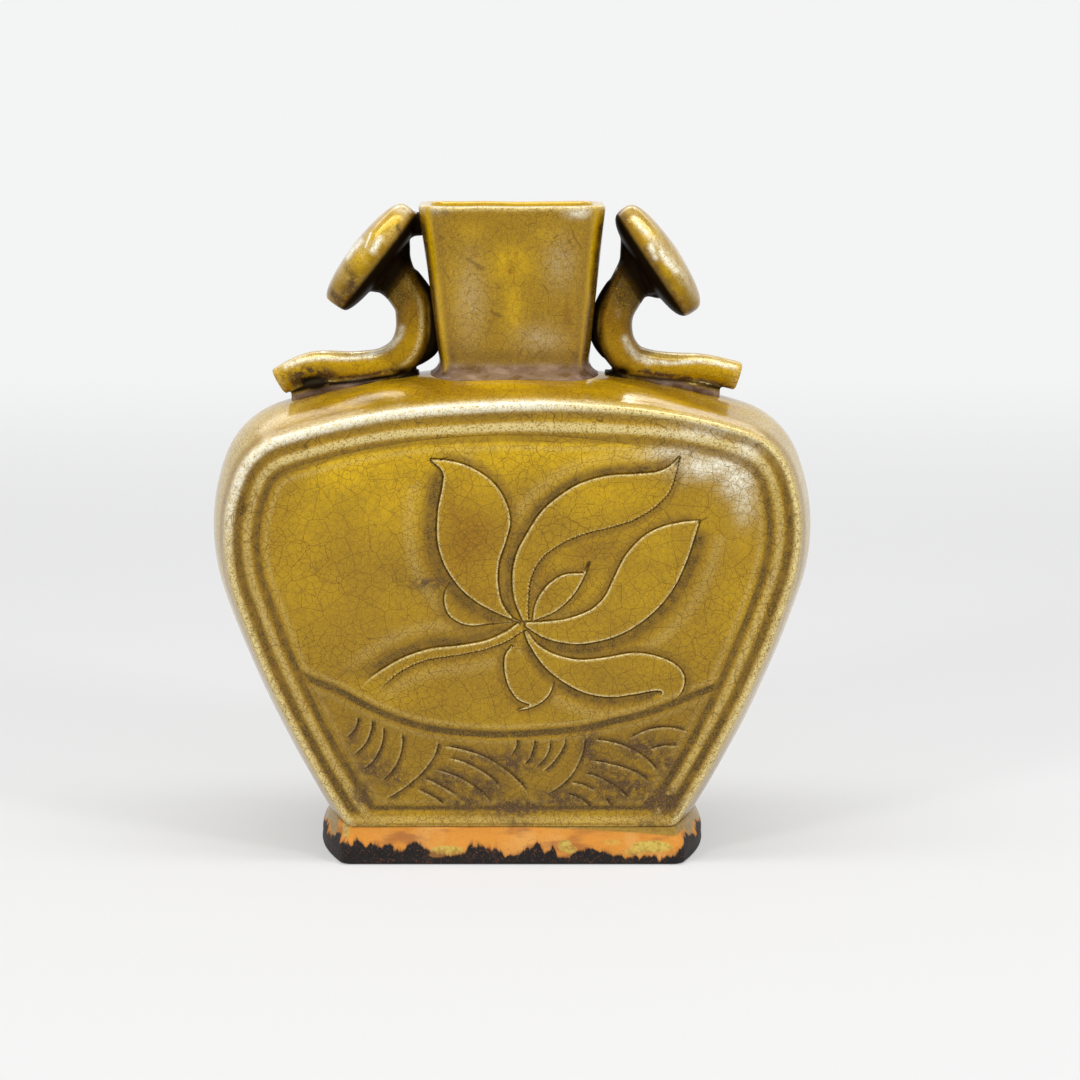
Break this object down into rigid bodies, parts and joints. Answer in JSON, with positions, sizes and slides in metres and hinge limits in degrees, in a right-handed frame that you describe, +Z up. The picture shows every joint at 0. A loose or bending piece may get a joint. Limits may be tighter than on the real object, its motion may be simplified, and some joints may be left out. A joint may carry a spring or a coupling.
{
  "type": "flask vase",
  "caption": "Flattened flask vase with an open tapering neck, mushroom-shaped shoulder handles, framed panels carved with lotus petals and a bare clay foot, for cut flowers.",
  "frame": {"origin": "centre of the foot, on the surface that the vase stands on", "axes": "+Z up through the neck, +X along the wide side to the right of the carved front, +Y to the back"},
  "size_m": [0.2036, 0.068, 0.22],
  "materials": {
    "honey_glaze": "glossy honey to amber glaze with fine brown crackle, paler where it thins over an edge",
    "olive_glaze": "glossy olive to khaki glaze with fine brown crackle and small iron specks",
    "brown_glaze": "glossy brown glaze, pooled dark in the corners between pieces",
    "bare_clay": "matt unglazed clay, fired orange with a dark iron wash"
  },
  "bodies": {
    "root": {"front_panel": "honey_glaze", "back_panel": "honey_glaze", "side_wall_left": "olive_glaze", "side_wall_right": "olive_glaze", "shoulder": "olive_glaze", "floor": "olive_glaze", "foot": "bare_clay", "neck": "olive_glaze", "neck_luting_coil": "brown_glaze", "handle_stem_left": "honey_glaze", "handle_stem_right": "honey_glaze", "mushroom_cap_left": "honey_glaze", "mushroom_cap_right": "honey_glaze", "tail_luting_left": "brown_glaze", "tail_luting_right": "brown_glaze"}
  },
  "joints": []
}
